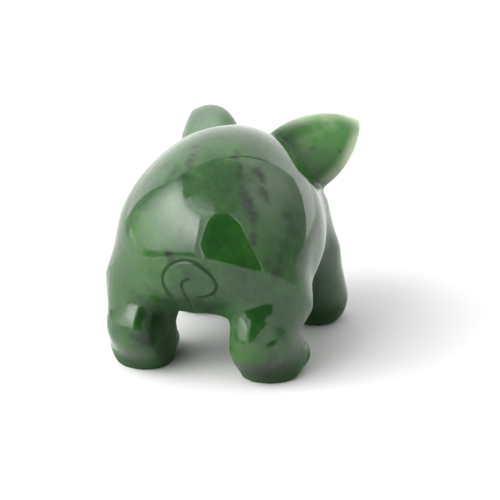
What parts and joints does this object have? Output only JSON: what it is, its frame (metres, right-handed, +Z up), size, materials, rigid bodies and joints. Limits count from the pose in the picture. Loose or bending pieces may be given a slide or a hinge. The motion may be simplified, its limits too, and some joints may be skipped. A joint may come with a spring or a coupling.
{
  "type": "pig figurine",
  "caption": "Small polished jade pig carved from one stone, standing on short legs, with large upright ears, a flat snout and a curled tail engraved on its rump.",
  "frame": {"origin": "on the surface it stands on, under the middle of its bounding box", "axes": "+Z up, -Y the way the pig faces, +X to the pig's left"},
  "size_m": [0.0314, 0.0478, 0.0337],
  "materials": {
    "jade": "polished, slightly translucent green nephrite"
  },
  "bodies": {
    "root": {"jade_pig": "jade"}
  },
  "joints": []
}
